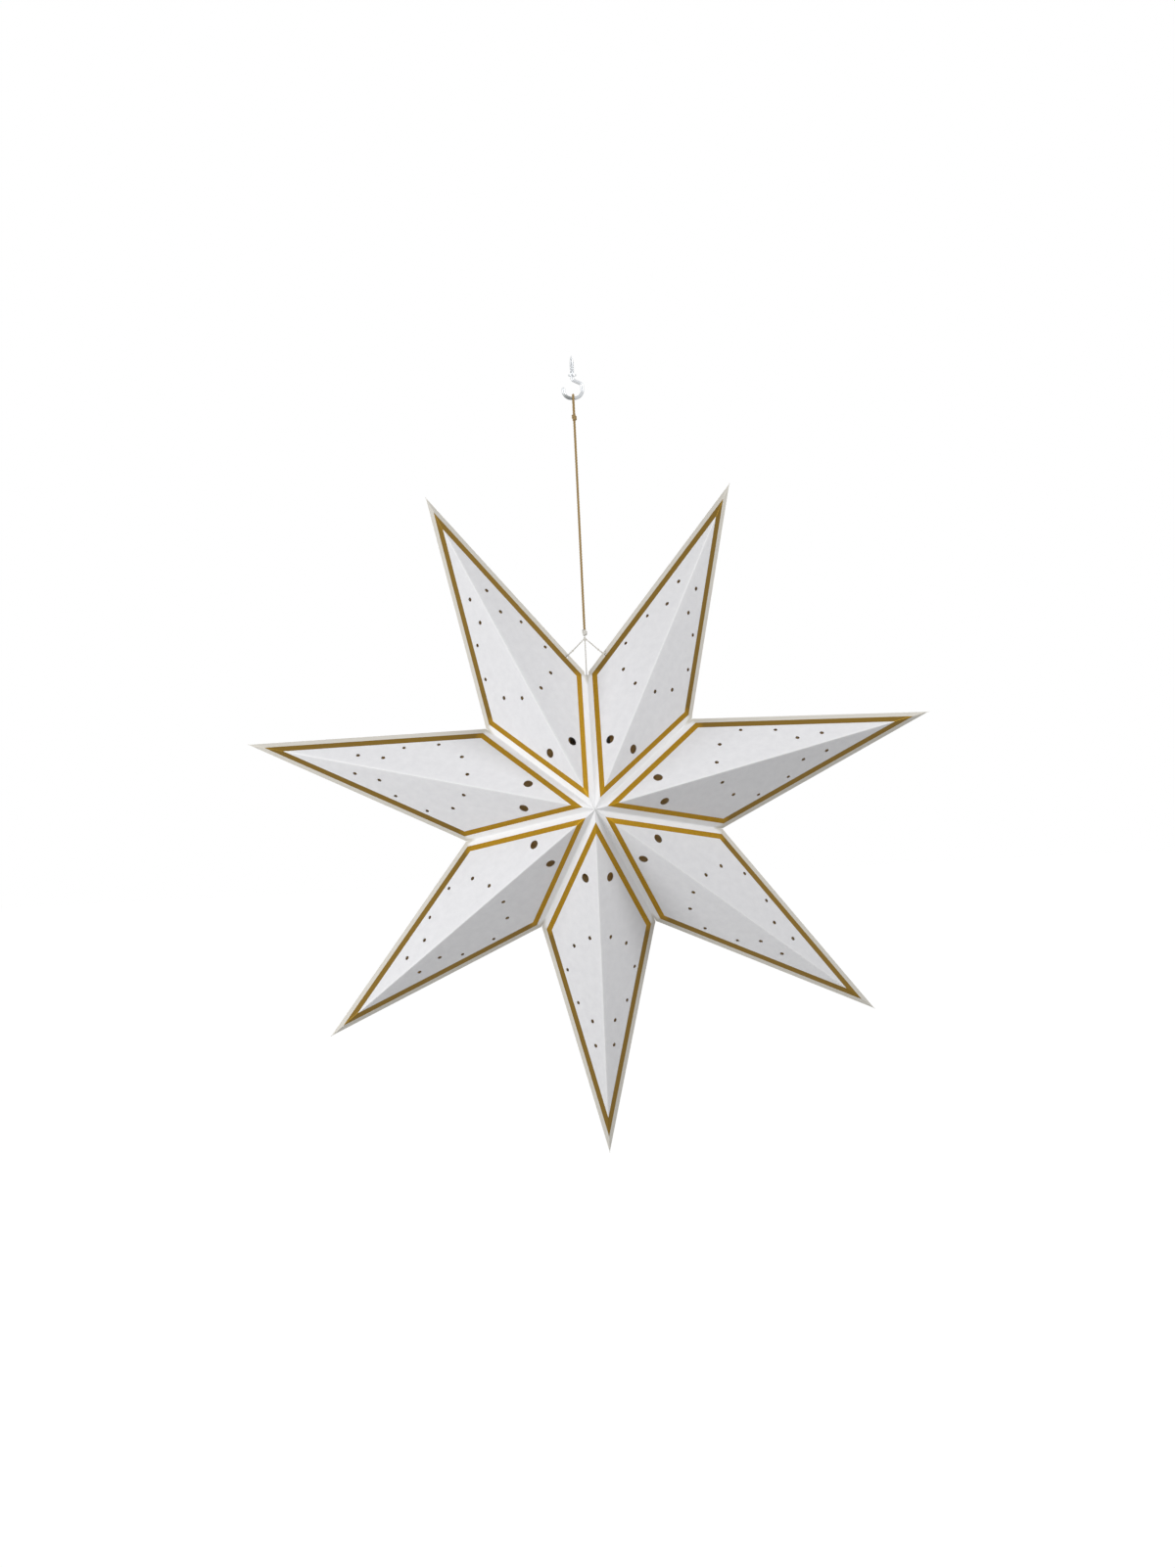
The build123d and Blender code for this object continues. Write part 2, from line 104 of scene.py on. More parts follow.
def star_point(radius, turn):
    """Point of the star's middle plane: radius from the centre, turned clockwise from the top."""
    return centre + radius * np.array([math.sin(turn), 0, math.cos(turn)])


print(f"tips at {tip_radius / MM:.0f} mm, inner corners at {corner_radius / MM:.0f} mm")
print(f"depth {2 * half_depth / MM:.0f} mm")

# %% [markdown]
# The photograph was taken almost straight from the front, a little from above and from the left, and it
# shows the star turned slightly clockwise. A camera can be placed by hand in the viewport, or from numbers.
# Numbers are used here, a direction, a distance, a roll and a focal length in pixels of the photograph,
# so the same view comes back on every run.

# %% Place the camera
PHOTO_HEIGHT = 1602
FOCAL_PIXELS = 2385
CAMERA_DISTANCE = 2.0
CAMERA_TURN = math.radians(1.1)
CAMERA_DROP = math.radians(1.8)
CAMERA_ROLL = math.radians(-2.78)
CAMERA_AIM = Vector((-3.8 * MM, 0, 18.8 * MM))
SENSOR = 36.0

look = Vector((math.sin(CAMERA_TURN), math.cos(CAMERA_TURN), -math.tan(CAMERA_DROP))).normalized()
level = look.cross(Vector((0, 0, 1))).normalized()
upright = level.cross(look)
right = level * math.cos(CAMERA_ROLL) + upright * math.sin(CAMERA_ROLL)
camera_data = bpy.data.cameras.new("photo_camera")
camera_data.sensor_width = SENSOR
camera_data.lens = SENSOR * FOCAL_PIXELS / PHOTO_HEIGHT
camera = bpy.data.objects.new("photo_camera", camera_data)
camera_axes = Matrix((right, right.cross(look), -look)).transposed().to_4x4()
camera.matrix_world = Matrix.Translation(Vector(centre) + CAMERA_AIM - look * CAMERA_DISTANCE) @ camera_axes
scene.collection.objects.link(camera)
scene.camera = camera
print(f"camera {camera_data.lens:.1f} mm at {[round(x, 3) for x in camera.matrix_world.translation]}")

# %% [markdown]
# Every finish below is a node material. A few small helpers are enough for all of them: one turns a
# hex colour into the linear numbers that shaders use, one adds a node with its settings and links, one
# starts a material, and one blends two colours. Patterns are sized in real millimetres, so they stay
# right at any zoom.

# %% Helpers for finishes


def colour(code):
    """Linear RGBA of an sRGB hex colour: (c + 0.055)^2.4 / 1.055^2.4 above the dark end, c / 12.92 below."""
    parts = np.array([int(code[i:i + 2], 16) for i in (1, 3, 5)]) / 255
    linear = np.where(parts <= 0.04045, parts / 12.92, ((parts + 0.055) / 1.055) ** 2.4)
    return (*linear.tolist(), 1.0)


def per(millimetres):
    """Texture scale at which a pattern repeats about once in this many millimetres."""
    return 1 / (millimetres * MM)


def add(tree, kind, inputs=None, **settings):
    """Add one node, or take one that is there; an input is a value, or another node's socket to link."""
    made = tree.nodes.new("ShaderNode" + kind) if isinstance(kind, str) else kind
    for name, value in settings.items():
        setattr(made, name, value)
    for name, value in (inputs or {}).items():
        if isinstance(value, bpy.types.NodeSocket):
            tree.links.new(value, made.inputs[name])
        else:
            made.inputs[name].default_value = value
    return made


def new_finish(name):
    """A node material with its tree and its Principled shader."""
    material = bpy.data.materials.new(name)
    material.use_nodes = True
    return material, material.node_tree, material.node_tree.nodes["Principled BSDF"]


# Places of the Mix node's sockets when it mixes colours
MIX, FIRST, SECOND, MIXED = 0, 6, 7, 2


def blend(tree, share, first, second):
    """Socket of the colour that lies between two colours: first * (1 - share) + second * share."""
    return add(tree, "Mix", {MIX: share, FIRST: first, SECOND: second}, data_type="RGBA").outputs[MIXED]


print("helpers for finishes are ready")

# %% [markdown]
# The star hangs on a twisted cord, and thinner threads tie it and the lamp below. Both are spun from
# fibres that catch the light in fine lines along the strands. A flat colour would look like wire, so
# the finish is streaked along the strand direction of the cord's own UV map: the first coordinate
# runs along the cord and the second goes once round it, turning with the twist.

# %% Finishes of the cord and the thread


def spun_finish(name, dark, light, strand_streaks, streak_length, roughness):
    """Spun yarn: fibre streaks along the strands tint the colour and raise the surface a little."""
    material, tree, shader = new_finish(name)
    surface = add(tree, "UVMap", uv_map="surface")
    stretch = add(
        tree, "Mapping", {"Vector": surface.outputs["UV"], "Scale": (per(streak_length), strand_streaks, 1)}
    )
    fibres = add(tree, "TexNoise", {"Vector": stretch.outputs["Vector"], "Scale": 1, "Detail": 3})
    tint = blend(tree, fibres.outputs["Fac"], colour(dark), colour(light))
    bump = add(tree, "Bump", {"Height": fibres.outputs["Fac"], "Strength": 0.6, "Distance": 0.12 * MM})
    add(
        tree,
        shader,
        {
            "Base Color": tint,
            "Roughness": roughness,
            "Sheen Weight": 0.25,
            "Sheen Roughness": 0.4,
            "Normal": bump.outputs["Normal"],
        },
    )
    return material


# Viscose cord, spun and twisted: silky, so its streaks are bright on a pale gold ground
cord_finish = spun_finish("viscose_cord_twisted", "#7D602B", "#C0A268", 30, 5.0, 0.5)
# Cotton thread, twisted: duller and whiter than the cord
thread_finish = spun_finish("cotton_thread_twisted", "#CFCCC4", "#F2F0EA", 18, 3.0, 0.75)
print("made", cord_finish.name, "and", thread_finish.name)

# %% [markdown]
# A cord is a path with a section carried along it. The path is a NURBS line, which bends as softly as
# a real cord does. The section is the outline of strands that touch each other, and it turns as it
# goes along, which draws the twist as real geometry instead of a painted pattern.

# %% Helpers for cords
SPLINE_STEPS = 24


def smooth_path(controls):
    """Points of the NURBS line with these control points, as Blender works them out."""
    curve = bpy.data.curves.new("route", "CURVE")
    curve.dimensions = "3D"
    curve.resolution_u = SPLINE_STEPS
    spline = curve.splines.new("NURBS")
    spline.points.add(len(controls) - 1)
    spline.points.foreach_set("co", np.column_stack([controls, np.ones(len(controls))]).ravel())
    spline.order_u = 3
    spline.use_endpoint_u = True
    holder = bpy.data.objects.new("route", curve)
    line = bpy.data.meshes.new_from_object(holder)
    points = np.empty(3 * len(line.vertices))
    line.vertices.foreach_get("co", points)
    bpy.data.objects.remove(holder)
    bpy.data.curves.remove(curve)
    bpy.data.meshes.remove(line)
    return points.reshape(-1, 3)


def unit(vectors):
    """Vectors divided by their lengths."""
    return vectors / np.linalg.norm(vectors, axis=-1, keepdims=True)


def twisted_tube(path, across, radius, strands, pitch, sides=24, ring_gap=0.3 * MM):
    """Tube of twisted strands along a path: points, faces and UVs of each face corner.

    The section is the outline of touching round strands, r = d cos(b) + sqrt(c^2 - d^2 sin(b)^2), with
    b the angle from the middle of the nearest strand, c = d sin(pi / strands) the strand's radius and
    d + c the tube's radius. It turns once in each pitch of length along the path.
    """
    lengths = np.concatenate([[0], np.cumsum(np.linalg.norm(np.diff(path, axis=0), axis=1))])
    along = np.linspace(0, lengths[-1], max(3, int(lengths[-1] / ring_gap)))
    line = np.stack([np.interp(along, lengths, path[:, axis]) for axis in range(3)], 1)
    tangent = unit(np.gradient(line, axis=0))
    first = unit(across - tangent * (tangent @ across)[:, None])
    second = np.cross(tangent, first)
    turn = np.linspace(0, 2 * math.pi, sides + 1)
    twist = turn[None, :] - 2 * math.pi * along[:, None] / pitch
    share = math.sin(math.pi / strands)
    off_centre = radius / (1 + share)
    from_strand = np.mod(twist[:, :-1], 2 * math.pi / strands) - math.pi / strands
    inside = np.maximum((off_centre * share) ** 2 - (off_centre * np.sin(from_strand)) ** 2, 0)
    reach = (off_centre * np.cos(from_strand) + np.sqrt(inside))[..., None]
    sideways, upward = (wave(turn[:-1])[None, :, None] for wave in (np.cos, np.sin))
    spokes = sideways * first[:, None] + upward * second[:, None]
    rings = line[:, None] + reach * spokes
    rows, columns = np.meshgrid(np.arange(len(line) - 1), np.arange(sides), indexing="ij")
    corner_rows = np.stack([rows, rows, rows + 1, rows + 1], -1).reshape(-1, 4)
    corner_columns = np.stack([columns, columns + 1, columns + 1, columns], -1).reshape(-1, 4)
    walls = corner_rows * sides + corner_columns % sides
    wall_uv = np.stack([along[corner_rows], twist[corner_rows, corner_columns] / (2 * math.pi)], -1)
    around = np.arange(sides)
    following = (around + 1) % sides
    last_ring = (len(line) - 1) * sides
    first_middle = len(line) * sides
    start_cap = np.stack([np.full(sides, first_middle), following, around], 1)
    end_cap = np.stack([np.full(sides, first_middle + 1), last_ring + around, last_ring + following], 1)
    points = np.concatenate([rings.reshape(-1, 3), line[[0, -1]]])
    uv = np.concatenate([wall_uv.reshape(-1, 2), np.zeros((6 * sides, 2))])
    return points, walls.tolist() + start_cap.tolist() + end_cap.tolist(), uv


def joined(*shapes):
    """Several shapes as one: points after points, with each later shape's faces counted on."""
    faces, start = [], 0
    for points, shape_faces, _ in shapes:
        faces += [[start + i for i in face] for face in shape_faces]
        start += len(points)
    return np.concatenate([s[0] for s in shapes]), faces, np.concatenate([s[2] for s in shapes])


def make_piece(name, shape, finishes, body, stands_for=(), finish_of_face=None, sharp=40):
    """A finished piece at the origin: its mesh from arrays, its finishes, and the body it rides on."""
    points, faces, uv = shape
    mesh = bpy.data.meshes.new(name)
    mesh.from_pydata(points.tolist(), [], faces)
    for finish in finishes:
        mesh.materials.append(finish)
    if finish_of_face is not None:
        mesh.polygons.foreach_set("material_index", finish_of_face.astype(np.int32))
    mesh.uv_layers.new(name="surface").data.foreach_set("uv", uv.astype(np.float32).ravel())
    mesh.shade_smooth()
    mesh.set_sharp_from_angle(angle=math.radians(sharp))
    piece = bpy.data.objects.new(name, mesh)
    scene.collection.objects.link(piece)
    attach(piece, body)
    if stands_for:
        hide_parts(*stands_for)
    return piece


print("helpers for cords are ready")

# %% [markdown]
# At the top the cord makes a loop over the hook, closed by a barrel knot. Then it runs straight down
# under the star's weight and ends in a second knot, which is bound in the white thread. A knot is a few
# wraps, so it is the same twisted tube, carried along a short helix that starts and ends inside the knot.

# %% The hanging cord, its loop and its knots
# Radius of a knot's wraps, in strand diameters, and their number
WRAP_SWELL = 0.56
KNOT_TURNS = 2.6
# Control points along the wraps, and rings of the tube in one strand diameter
KNOT_POINTS = 36
KNOT_RINGS = 7
# A wrap starts at this share of its full radius and reaches it after 1 / TUCK_RATE of the knot
TUCK_LEAST, TUCK_RATE = 0.15, 6
# Length of one turn of the twist, in cord diameters
TWIST = 3.2
X_AXIS, Y_AXIS, Z_AXIS = np.eye(3)
cord_low, cord_high = (np.array(corner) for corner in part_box("hanging_cord"))
CORD = (cord_high - cord_low)[0]
CORD_TWIST = {"radius": CORD / 2, "strands": 3, "pitch": TWIST * CORD}
bar_level = joints["loop_swing"]["pos_m"][2]
top_knot_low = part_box("hanging_loop")[0].z
KNOT_HEIGHT = (2 + 2 * WRAP_SWELL) * CORD
top_knot_high = top_knot_low + KNOT_HEIGHT
cord_knot_low, cord_knot_high = (corner.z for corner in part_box("cord_knot"))


def knot(low, high, strand, strands=3):
    """Barrel knot on the Z axis: a helix whose radius swells from the axis to half a strand and back."""
    turn = np.linspace(0, 2 * math.pi * KNOT_TURNS, KNOT_POINTS)
    share = turn / turn[-1]
    tuck = np.clip(TUCK_RATE * np.minimum(share, 1 - share), TUCK_LEAST, 1)
    wrap = strand * WRAP_SWELL
    level = high - wrap - (high - low - 2 * wrap) * share
    helix = np.stack([np.cos(turn) * tuck * strand / 2, np.sin(turn) * tuck * strand / 2, level], 1)
    path = smooth_path(helix)
    return twisted_tube(path, Z_AXIS, wrap, strands, TWIST * strand, ring_gap=strand / KNOT_RINGS)


def ring_corners(middle, radius, out, aside, first_turn, last_turn, count):
    """Control points round a circle: corners just outside it, so that the NURBS line runs on it."""
    turn = np.radians(np.linspace(first_turn, last_turn, count))[:, None]
    corner = radius / math.cos(math.radians((last_turn - first_turn) / (count - 1) / 2))
    return middle + corner * (np.cos(turn) * out + np.sin(turn) * aside)


# The loop's inner radius over the bar, and where its legs end in the knot
BAR_BEND = 1.65 * MM
LEG_APART = 0.05 * MM
LEG_DEPTH = 1.5 * MM
# First and last turn of the route's corners over the bar, in degrees, and their number
OVER_BAR = (22.5, 157.5, 4)
leg_foot = np.array([0, CORD / 2 + LEG_APART, top_knot_high - LEG_DEPTH])
bar = np.array([0, 0, bar_level])
over_bar = ring_corners(bar, BAR_BEND + CORD / 2, -Y_AXIS, Z_AXIS, *OVER_BAR)
loop_path = smooth_path(np.vstack([leg_foot * (1, -1, 1), over_bar, leg_foot]))
make_piece(
    "cord_loop",
    joined(twisted_tube(loop_path, X_AXIS, **CORD_TWIST), knot(top_knot_low, top_knot_high, CORD)),
    [cord_finish],
    "hanging_loop",
    ["hanging_loop"],
)

# The cord is straight this far from its knots, and it ends this far inside them
STRAIGHT = 6 * CORD
INTO_KNOT = 1.0 * MM
cord_levels = [
    top_knot_low + INTO_KNOT,
    top_knot_low - STRAIGHT,
    cord_knot_high + STRAIGHT,
    cord_knot_high - INTO_KNOT,
]
cord_path = smooth_path(np.outer(cord_levels, Z_AXIS))
cord_run = make_piece(
    "cord_run",
    twisted_tube(cord_path, X_AXIS, **CORD_TWIST),
    [cord_finish],
    "hanging_cord",
    ["hanging_cord"],
)
end_knot = make_piece(
    "cord_end_knot",
    knot(cord_knot_low, cord_knot_high, CORD),
    [thread_finish],
    "hanging_cord",
    ["cord_knot"],
)
print(f"cord {CORD / MM:.1f} mm thick, straight for {(cord_levels[0] - cord_levels[-1]) / MM:.0f} mm")

# %% [markdown]
# A thin cotton thread goes through a hole in the front and the back panel of each seam arm, so it
# holds the closed star at its top corner. A third one carries the lamp. Each is a twisted tube with a
# small knot where it closes on itself.

# %% The threads below the cord
# A tie's place beside the top corner, and the radius of its ring round the outline edge
TIE_OFFSET = 14.4 * MM
TIE_RING = 4.0 * MM
# First and last turn of the route's corners round a ring, in degrees, and their number
ROUND_EDGE = (22.5, 337.5, 8)
ROUND_EYE = (40, 320, 7)
# A small knot's half height and wrap, in thread diameters
SMALL_KNOT_HALF, SMALL_KNOT_WRAP = 0.9, 0.8
FINE_RINGS = 0.2 * MM
bridle_low, bridle_high = (corner.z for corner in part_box("bridle_knot"))
THREAD = (bridle_high - bridle_low) / (2 + 2 * WRAP_SWELL)
THREAD_TWIST = {"radius": THREAD / 2, "strands": 2, "pitch": 3 * THREAD, "sides": 16}
bridle_level = (bridle_low + bridle_high) / 2
into_cord = smooth_path(np.outer([bridle_level, bridle_high, cord_knot_low + CORD], Z_AXIS))
make_piece(
    "thread_bridle_knot",
    joined(
        knot(bridle_low, bridle_high, THREAD),
        twisted_tube(into_cord, X_AXIS, **THREAD_TWIST, ring_gap=FINE_RINGS),
    ),
    [thread_finish],
    "star_seam_panel",
    ["bridle_knot"],
)


def tie(hand):
    """Thread from the bridle knot to an outline edge and once round it, and the top of that ring.

    The hand is 1 for the right edge and -1 for the left. Short steps are in thread diameters.
    """
    edge = (first_tip - top_corner) * (hand, 1, 1)
    spot = top_corner * (hand, 1, 1) + edge * TIE_OFFSET / abs(edge[0])
    edge = unit(edge)
    out = np.array([-edge[2], 0, edge[0]]) * hand
    knot_side = np.array([hand * THREAD * 0.6, 0, bridle_level])
    ring_top = spot + out * (TIE_RING + 0.5 * THREAD)
    down = unit(ring_top - knot_side)
    route = np.vstack(
        [
            knot_side,
            knot_side + down * 3 * THREAD,
            ring_top - down * 3 * THREAD,
            ring_corners(spot, TIE_RING, out, Y_AXIS, *ROUND_EDGE),
            spot + out * TIE_RING + down * 0.2 * THREAD,
        ]
    )
    return twisted_tube(smooth_path(route), edge, **THREAD_TWIST, ring_gap=FINE_RINGS), ring_top


for hand, node, body in (
    (1, "tie_thread_right", "star_seam_panel"),
    (-1, "tie_thread_left", "arm_7_front_right"),
):
    shape, ring_top = tie(hand)
    half = SMALL_KNOT_HALF * THREAD
    small_knot = knot(-half, half, SMALL_KNOT_WRAP * THREAD, 2)
    small_knot = (small_knot[0] + ring_top, *small_knot[1:])
    make_piece("thread_" + node, joined(shape, small_knot), [thread_finish], body, [node])

lamp_low, lamp_high = (np.array(corner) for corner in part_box("lamp_thread"))
eye_radius = (lamp_high - lamp_low)[1] / 2 - THREAD / 2
eye = np.array([0, 0, lamp_low[2] + THREAD / 2 + eye_radius])
eye_top = eye + Z_AXIS * eye_radius
lamp_route = np.vstack(
    [
        Z_AXIS * (bridle_low + THREAD / 2),
        Z_AXIS * (bridle_low - 8 * THREAD),
        eye_top + Z_AXIS * 8 * THREAD,
        eye_top + Z_AXIS * 1.2 * THREAD,
        ring_corners(eye, eye_radius, Z_AXIS, Y_AXIS, *ROUND_EYE),
        eye_top + Z_AXIS * 1.4 * THREAD - Y_AXIS * 0.8 * THREAD,
    ]
)
lamp_path = smooth_path(lamp_route)
eye_knot = knot(eye_top[2] + 0.2 * THREAD, eye_top[2] + 2.6 * THREAD, THREAD, 2)
lamp_string = make_piece(
    "thread_lamp",
    twisted_tube(lamp_path, X_AXIS, **THREAD_TWIST),
    [thread_finish],
    "star_seam_panel",
    ["lamp_thread"],
)
lamp_knot = make_piece("thread_lamp_knot", eye_knot, [thread_finish], "star_seam_panel")
print(f"threads {THREAD / MM:.1f} mm thick, lamp eye ring {2 * eye_radius / MM:.1f} mm across")

# %% [markdown]
# The panels are die-cut from white card with a matt coating. Up close such card has soft clouds in its
# tone, a fine tooth, and slightly paler, polished lines where it was scored and folded. The inside is
# uncoated and warmer, which is what makes the punched holes look dark. The borders are gold foil,
# stamped on hot: a thin metal film, satin rather than mirror bright.

# %% Finishes of the card and the foil

# White card, matt coated: clouds of fibre, a fine tooth (drawn coarser than the real 0.1 mm) and paler scored
# folds;
# painted light makes the bare card beside the valleys whiter, and painted shade makes the bare card beside
# the outline greyer and warmer
card_finish, tree, shader = new_finish("white_card_matt_coated")
surface = add(tree, "UVMap", uv_map="surface")
fold = add(tree, "Attribute", attribute_name="fold")
clouds = add(
    tree, "TexNoise", {"Vector": surface.outputs["UV"], "Scale": per(7), "Detail": 5, "Roughness": 0.6}
)
tooth = add(tree, "TexNoise", {"Vector": surface.outputs["UV"], "Scale": per(0.6), "Detail": 2})
tone = blend(tree, clouds.outputs["Fac"], colour("#E4E4E7"), colour("#F5F5F7"))
folded_tone = blend(tree, fold.outputs["Fac"], tone, colour("#F7F7F8"))
# Painted highlight: the bare card beside the valleys is drawn whiter than the rest
valley_margin_painted_light = add(tree, "Attribute", attribute_name="valley_margin_painted_light")
valley_margin_painted_light_tone = blend(tree, valley_margin_painted_light.outputs["Fac"], folded_tone, colour("#FBFBFC"))
# Painted shade: the bare card beside the outline is drawn greyer and warmer than the rest
outline_margin_painted_shade = add(tree, "Attribute", attribute_name="outline_margin_painted_shade")
outline_margin_painted_shade_tone = blend(tree, outline_margin_painted_shade.outputs["Fac"], valley_margin_painted_light_tone, colour("#DCD8CF"))
gloss = add(tree, "MapRange", {"Value": clouds.outputs["Fac"], "To Min": 0.66, "To Max": 0.54})
bump = add(tree, "Bump", {"Height": tooth.outputs["Fac"], "Strength": 0.25, "Distance": 0.05 * MM})
add(
    tree,
    shader,
    {
        "Base Color": outline_margin_painted_shade_tone,
        "Roughness": gloss.outputs["Result"],
        "Specular IOR Level": 0.35,
        "Normal": bump.outputs["Normal"],
    },
)

# Card's inside, uncoated: warm and quite matt, and faintly lit by the daylight that comes through the card
LIGHT_DEPTH = 1.5 * MM
inside_finish, tree, shader = new_finish("white_card_uncoated_inside")
surface = add(tree, "UVMap", uv_map="surface")
clouds = add(tree, "TexNoise", {"Vector": surface.outputs["UV"], "Scale": per(5), "Detail": 6})
tone = blend(tree, clouds.outputs["Fac"], colour("#C4AE8A"), colour("#D2BF9C"))
add(
    tree,
    shader,
    {
        "Base Color": tone,
        "Roughness": 0.9,
        "Specular IOR Level": 0.2,
        "Subsurface Weight": 1.0,
        "Subsurface Radius": (1, 1, 1),
        "Subsurface Scale": LIGHT_DEPTH,
    },
)

# Gold foil, hot stamped on card: a satin metal film that shows the card's unevenness as soft mottling,
# with painted shade that makes it darker and duller along the star's outline
foil_finish, tree, shader = new_finish("gold_foil_hot_stamped")
surface = add(tree, "UVMap", uv_map="surface")
mottle = add(tree, "TexNoise", {"Vector": surface.outputs["UV"], "Scale": per(2.2), "Detail": 4})
tone = blend(tree, mottle.outputs["Fac"], colour("#9C7514"), colour("#BE942A"))
# Painted shade: the foil is drawn darker and duller along the star's outline
rim = add(tree, "Attribute", attribute_name="rim")
painted_shade_tone = blend(tree, rim.outputs["Fac"], tone, colour("#826629"))
gloss = add(tree, "MapRange", {"Value": mottle.outputs["Fac"], "To Min": 0.34, "To Max": 0.52})
bump = add(tree, "Bump", {"Height": mottle.outputs["Fac"], "Strength": 0.3, "Distance": 0.05 * MM})
add(
    tree,
    shader,
    {
        "Base Color": painted_shade_tone,
        "Metallic": 0.6,
        "Specular IOR Level": 0.1,
        "Roughness": gloss.outputs["Result"],
        "Normal": bump.outputs["Normal"],
    },
)
print("made", card_finish.name, inside_finish.name, foil_finish.name)

# %% [markdown]
# All 28 panels are the same triangle, and those on the front have seven round holes for the lamp's light.
# The panel is laid out flat first, in millimetres, with the ridge along x from the star's middle to the
# tip, the way the printer's sheet is. Cutting holes by booleans would leave long thin faces. Here the
# outline, the holes, the foil's edges and a few rows beside the creases are lines of one flat
# triangulation instead, so each border is exact and the faces between are even.

# %% Lay out the flat panel
CARD = 0.5
# Angles between the card's face and its mitred sides
RIDGE_BEVEL, OUTLINE_BEVEL = math.radians(26), math.radians(47)
# Gap beside a back valley at the apex, radius of the notch at the seam, diameter of a thread hole
BACK_APEX_GAP = 0.2
SEAM_NOTCH = 2.4
TIE_HOLE = 3.0
HOLE_SIDES = 24
# Rounding width of a crease, and rows of points beside it in rounding widths
FOLD_ROUND = 0.8
FOLD_ROWS = (0, 1 / 3, 2 / 3, 1, 3)
# Spacing of points along lines and over the panel, and how far those over it stay from its sides
LINE_STEP = 6.0
GRID_STEP, GRID_RISE = 9.0, 8.0
GRID_MARGIN = 4.0
# Points closer than this are one point, and triangles with a smaller doubled area are left out
SAME_POINT = 1e-4
SLIVER = 1e-5
# Foil lines beside the ridge (none), the outline and the valley
FOIL_MARGINS = np.array([0, 5.5, 5.6])
FOIL_WIDTHS = np.array([0, 6.1, 5.1])
# Light holes: distance out along the arm, distance from the ridge, diameter, as seen from the front
LIGHT_HOLES = np.array(
    [
        (58.0, 10.5, 8.0),
        (109.5, 9.0, 3.6),
        (117.0, 22.3, 3.6),
        (138.5, 28.8, 3.2),
        (167.0, 21.0, 3.2),
        (182.5, 9.8, 3.6),
        (204.0, 8.0, 3.6),
    ]
)
ridge_length = np.linalg.norm(first_tip - front_apex) / MM
valley_length = np.linalg.norm(top_corner - front_apex) / MM
outline_length = np.linalg.norm(first_tip - top_corner) / MM
corner_out = (ridge_length**2 + valley_length**2 - outline_length**2) / (2 * ridge_length)
corner_up = math.sqrt(valley_length**2 - corner_out**2)
whole_panel = np.array([(0, 0), (ridge_length, 0), (corner_out, corner_up)])
corner_share = LIGHT_HOLES[:, 1] * MM / (corner_radius * math.sin(HALF_SECTOR))
tip_share = (LIGHT_HOLES[:, 0] * MM - corner_share * corner_radius * math.cos(HALF_SECTOR)) / tip_radius
hole_spots = tip_share[:, None] * whole_panel[1] + corner_share[:, None] * whole_panel[2]


def inward(triangle):
    """Unit normals of a triangle's sides, pointing in; the corners go round anticlockwise."""
    side = np.roll(triangle, -1, 0) - triangle
    return unit(np.stack([-side[:, 1], side[:, 0]], 1))


def side_distances(points, triangle):
    """Distance of each point from the ridge, outline and valley sides: (point - corner) . normal."""
    return ((points[:, None] - triangle[None]) * inward(triangle)[None]).sum(2)


def inset(triangle, amounts):
    """Triangle with its sides moved in: each corner is where its two moved sides cross."""
    normals = inward(triangle)
    levels = (normals * triangle).sum(1) + amounts
    before = np.array([2, 0, 1])
    sides = np.stack([normals[before], normals], 1)
    return np.linalg.solve(sides, np.stack([levels[before], levels], 1)[..., None])[..., 0]


def spaced_line(start, end):
    """Points from start up to but not at end, about one line step apart."""
    count = max(1, math.ceil(np.linalg.norm(end - start) / LINE_STEP))
    return start + (end - start) * np.linspace(0, 1, count, endpoint=False)[:, None]


def spaced_loop(corners):
    """Points round a closed outline."""
    return np.concatenate([spaced_line(a, b) for a, b in zip(corners, np.roll(corners, -1, 0))])


def round_hole(middle, diameter):
    """Points on a circle."""
    turn = np.linspace(0, 2 * math.pi, HOLE_SIDES, endpoint=False)
    return middle + diameter / 2 * np.stack([np.cos(turn), np.sin(turn)], 1)


print(f"panel {ridge_length:.1f} x {corner_up:.1f} mm, edges {outline_length:.1f} and {valley_length:.1f} mm")

# %% [markdown]
# The cut is made four times. Front panels have the light holes, and back panels leave a slim gap between
# them. The panels at the seam, on either side, also have a thread hole and a notch for the lamp's thread.

# %% Cut the panel


